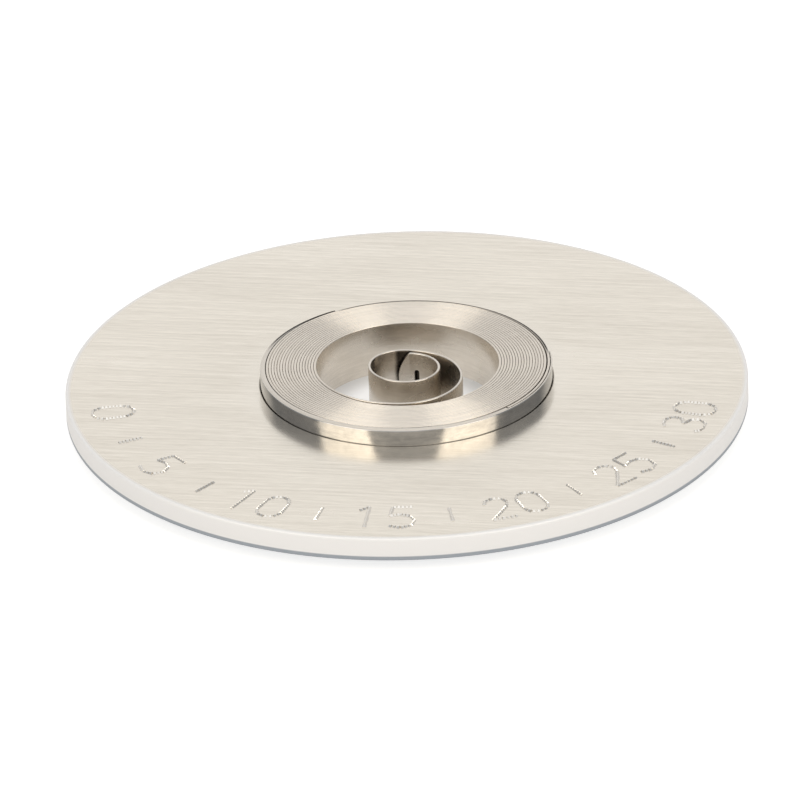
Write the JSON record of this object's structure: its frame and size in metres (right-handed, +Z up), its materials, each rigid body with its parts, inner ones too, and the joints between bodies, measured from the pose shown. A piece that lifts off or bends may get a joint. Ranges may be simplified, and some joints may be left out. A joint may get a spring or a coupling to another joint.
{
  "type": "watch mainspring",
  "caption": "Wound watch mainspring with a free inner coil and a slipping bridle, held in a flat aluminium winding washer.",
  "frame": {"origin": "on the washer's axis, in the plane of the spring's lower edge", "axes": "+Z up along the washer's axis, +X to the right and +Y away from a viewer at the front"},
  "size_m": [0.024, 0.024, 0.0019],
  "materials": {
    "washer": "straight brushed",
    "blade": "polished strip with rounded edges",
    "bridle": "polished strip with rounded edges"
  },
  "bodies": {
    "spring": {"mainspring_blade": "blade", "bridle": "bridle"},
    "washer": {"winding_washer": "washer"}
  },
  "joints": [
    {"name": "washer_slide", "type": "slide", "parent": "spring", "child": "washer", "axis": [0, 0, 1], "range_m": [-0.00047, 0.0014]}
  ]
}
